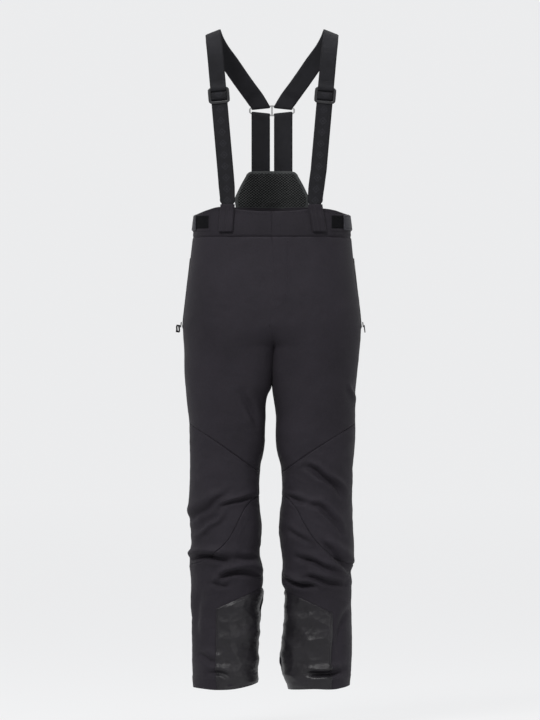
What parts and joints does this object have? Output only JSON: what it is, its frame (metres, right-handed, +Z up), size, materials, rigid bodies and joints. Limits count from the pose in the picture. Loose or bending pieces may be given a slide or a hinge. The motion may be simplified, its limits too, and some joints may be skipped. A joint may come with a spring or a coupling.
{
  "type": "ski pants",
  "caption": "Insulated ski trousers with a fly, side adjusters, reinforced hems and elastic shoulder straps that meet at a back ring over a mesh back panel.",
  "frame": {"origin": "centre of the waist opening, level with the front top edge of the waistband", "axes": "+Z up along the legs, -Y the wearer's front, +X the wearer's left"},
  "size_m": [0.4269, 0.2369, 1.4783],
  "materials": {
    "shell_fabric": "matt insulated shell cloth, fine plain weave",
    "waistband_fabric": "softer brushed cloth",
    "scuff_guard_fabric": "dense coated weave with a slight shine, crinkled",
    "lining_fabric": "smooth thin lining",
    "elastic_fabric": "ribbed elastic",
    "zip_tape": "woven tape with moulded teeth",
    "zip_metal": "dark enamel, satin",
    "puller_cord": "braided cord",
    "hook_and_loop": "dense loop pile",
    "tab_fabric": "coated cloth, stitched edge",
    "strap_webbing": "elastic webbing, fine ribs",
    "front_webbing": "elastic webbing with a woven geometric pattern",
    "buckle_plastic": "moulded, satin",
    "snap_metal": "dark enamel",
    "ring_metal": "satin nickel",
    "spacer_mesh": "knitted spacer mesh with small round holes"
  },
  "bodies": {
    "root": {"left_front_panel": "shell_fabric", "left_seat_panel": "shell_fabric", "left_knee_panel": "shell_fabric", "left_shin_panel": "shell_fabric", "left_calf_panel": "shell_fabric", "left_scuff_guard": "scuff_guard_fabric", "left_snow_gaiter": "lining_fabric", "left_gaiter_elastic": "elastic_fabric", "left_pocket_zip": "zip_tape", "left_pocket_bag": "lining_fabric", "left_loop_patch": "hook_and_loop", "left_shoulder_strap": "strap_webbing", "left_strap_return": "front_webbing", "left_strap_loop": "waistband_fabric", "left_back_strap": "strap_webbing", "right_front_panel": "shell_fabric", "right_seat_panel": "shell_fabric", "right_knee_panel": "shell_fabric", "right_shin_panel": "shell_fabric", "right_calf_panel": "shell_fabric", "right_scuff_guard": "scuff_guard_fabric", "right_snow_gaiter": "lining_fabric", "right_gaiter_elastic": "elastic_fabric", "right_pocket_zip": "zip_tape", "right_pocket_bag": "lining_fabric", "right_loop_patch": "hook_and_loop", "right_shoulder_strap": "strap_webbing", "right_strap_return": "front_webbing", "right_strap_loop": "waistband_fabric", "right_back_strap": "strap_webbing", "waistband_front_right": "waistband_fabric", "waistband_front_left": "waistband_fabric", "waistband_back": "waistband_fabric", "closure_underlap": "waistband_fabric", "snap_stud_upper": "snap_metal", "snap_stud_lower": "snap_metal", "fly_zip": "zip_tape", "fly_shield": "lining_fabric", "back_ring": "ring_metal", "mesh_back_panel": "spacer_mesh"},
    "closure_flap": {"waist_closure_flap": "waistband_fabric", "snap_socket_upper": "snap_metal", "snap_socket_lower": "snap_metal"},
    "fly_slider": {"fly_slider": "zip_metal"},
    "fly_puller": {"fly_puller": "zip_metal"},
    "left_waist_tab": {"left_waist_tab": "tab_fabric"},
    "left_slide_buckle": {"left_slide_buckle": "buckle_plastic"},
    "left_pocket_slider": {"left_pocket_slider": "zip_metal"},
    "left_pocket_puller": {"left_pocket_puller": "puller_cord"},
    "right_waist_tab": {"right_waist_tab": "tab_fabric"},
    "right_slide_buckle": {"right_slide_buckle": "buckle_plastic"},
    "right_pocket_slider": {"right_pocket_slider": "zip_metal"},
    "right_pocket_puller": {"right_pocket_puller": "puller_cord"}
  },
  "joints": [
    {"name": "closure_flap_hinge", "type": "hinge", "parent": "root", "child": "closure_flap", "pos_m": [0.04785, -0.1035, -0.0285], "axis": [0, 0, 1], "range_deg": [0, 100]},
    {"name": "fly_slider_slide", "type": "slide", "parent": "root", "child": "fly_slider", "axis": [0, -0.0528, -0.9986], "range_m": [0, 0.105]},
    {"name": "fly_puller_hinge", "type": "hinge", "parent": "fly_slider", "child": "fly_puller", "pos_m": [0, -0.09721, -0.0725], "axis": [-1, 0, 0], "range_deg": [0, 10]},
    {"name": "left_tab_hinge", "type": "hinge", "parent": "root", "child": "left_waist_tab", "pos_m": [0.1744, 0.0309, -0.0255], "axis": [0, 0, 1], "range_deg": [0, 75]},
    {"name": "left_buckle_slide", "type": "slide", "parent": "root", "child": "left_slide_buckle", "axis": [0.0877, 0, 0.9962], "range_m": [-0.14, 0.06]},
    {"name": "left_pocket_slide", "type": "slide", "parent": "root", "child": "left_pocket_slider", "axis": [-0.1125, 0, 0.9937], "range_m": [0, 0.138]},
    {"name": "left_puller_hinge", "type": "hinge", "parent": "left_pocket_slider", "child": "left_pocket_puller", "pos_m": [0.2074, 0, -0.25498], "axis": [0, -1, 0], "range_deg": [0, 90]},
    {"name": "right_tab_hinge", "type": "hinge", "parent": "root", "child": "right_waist_tab", "pos_m": [-0.1744, 0.0309, -0.0255], "axis": [0, 0, -1], "range_deg": [0, 75]},
    {"name": "right_buckle_slide", "type": "slide", "parent": "root", "child": "right_slide_buckle", "axis": [-0.0877, 0, 0.9962], "range_m": [-0.14, 0.06]},
    {"name": "right_pocket_slide", "type": "slide", "parent": "root", "child": "right_pocket_slider", "axis": [0.1125, 0, 0.9937], "range_m": [0, 0.138]},
    {"name": "right_puller_hinge", "type": "hinge", "parent": "right_pocket_slider", "child": "right_pocket_puller", "pos_m": [-0.2069, 0, -0.25493], "axis": [0, 1, 0], "range_deg": [0, 90]}
  ]
}
